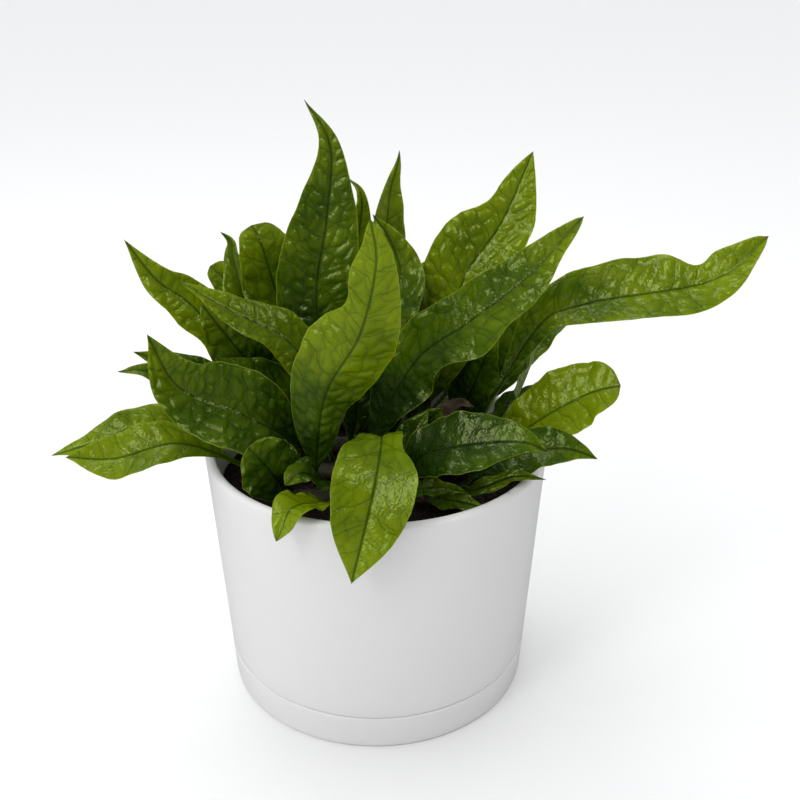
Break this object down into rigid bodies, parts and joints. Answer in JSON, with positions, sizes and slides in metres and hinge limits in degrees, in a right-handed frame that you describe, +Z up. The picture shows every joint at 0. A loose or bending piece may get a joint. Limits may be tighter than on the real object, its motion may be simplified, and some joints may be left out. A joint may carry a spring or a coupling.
{
  "type": "potted fern",
  "caption": "Live fern with broad undivided strap fronds rising from creeping rhizomes on dark soil, in a round tapered white ceramic pot standing in a flush saucer.",
  "frame": {"origin": "centre of the saucer's flat underside", "axes": "+Z up; -Y is the side seen in front, with the frond that droops over the rim; +X is to its right, the plant's widest way"},
  "size_m": [0.3406, 0.2194, 0.2982],
  "materials": {
    "ceramic": "white satin glaze",
    "soil": "damp dark potting mix, loose and matte",
    "rhizome": "brown scaly creeping stem",
    "frond": "glossy net-veined green leaf",
    "dead_frond": "dry brown leaf"
  },
  "bodies": {
    "root": {"pot": "ceramic", "saucer": "ceramic", "soil": "soil", "rhizome_front": "rhizome", "rhizome_middle": "rhizome", "rhizome_back": "rhizome", "rhizome_rear": "rhizome", "frond_01": "frond", "frond_02": "frond", "frond_03": "frond", "frond_04": "frond", "frond_05": "frond", "frond_06": "frond", "frond_07": "frond", "frond_08": "frond", "frond_09": "frond", "frond_10": "frond", "frond_11": "frond", "frond_12": "frond", "frond_13": "frond", "frond_14": "frond", "frond_15": "frond", "frond_16": "frond", "frond_17": "frond", "frond_18": "frond", "frond_19": "frond", "frond_20": "frond", "frond_21": "frond", "frond_22": "frond", "frond_23": "frond", "frond_24": "frond", "frond_25": "frond", "frond_26": "frond", "frond_27": "frond", "frond_28": "frond", "frond_29": "frond", "frond_30": "frond", "frond_31": "frond", "frond_32": "frond", "frond_33": "frond", "frond_34": "frond", "frond_35": "frond", "frond_36": "frond", "frond_37": "frond", "frond_38": "frond", "frond_39": "frond", "frond_40": "frond", "frond_41": "frond", "frond_42": "frond", "frond_43": "frond", "frond_44": "frond", "frond_45": "frond", "frond_46": "frond", "frond_47": "frond", "frond_48": "frond", "frond_49": "frond", "dead_frond": "dead_frond"}
  },
  "joints": []
}
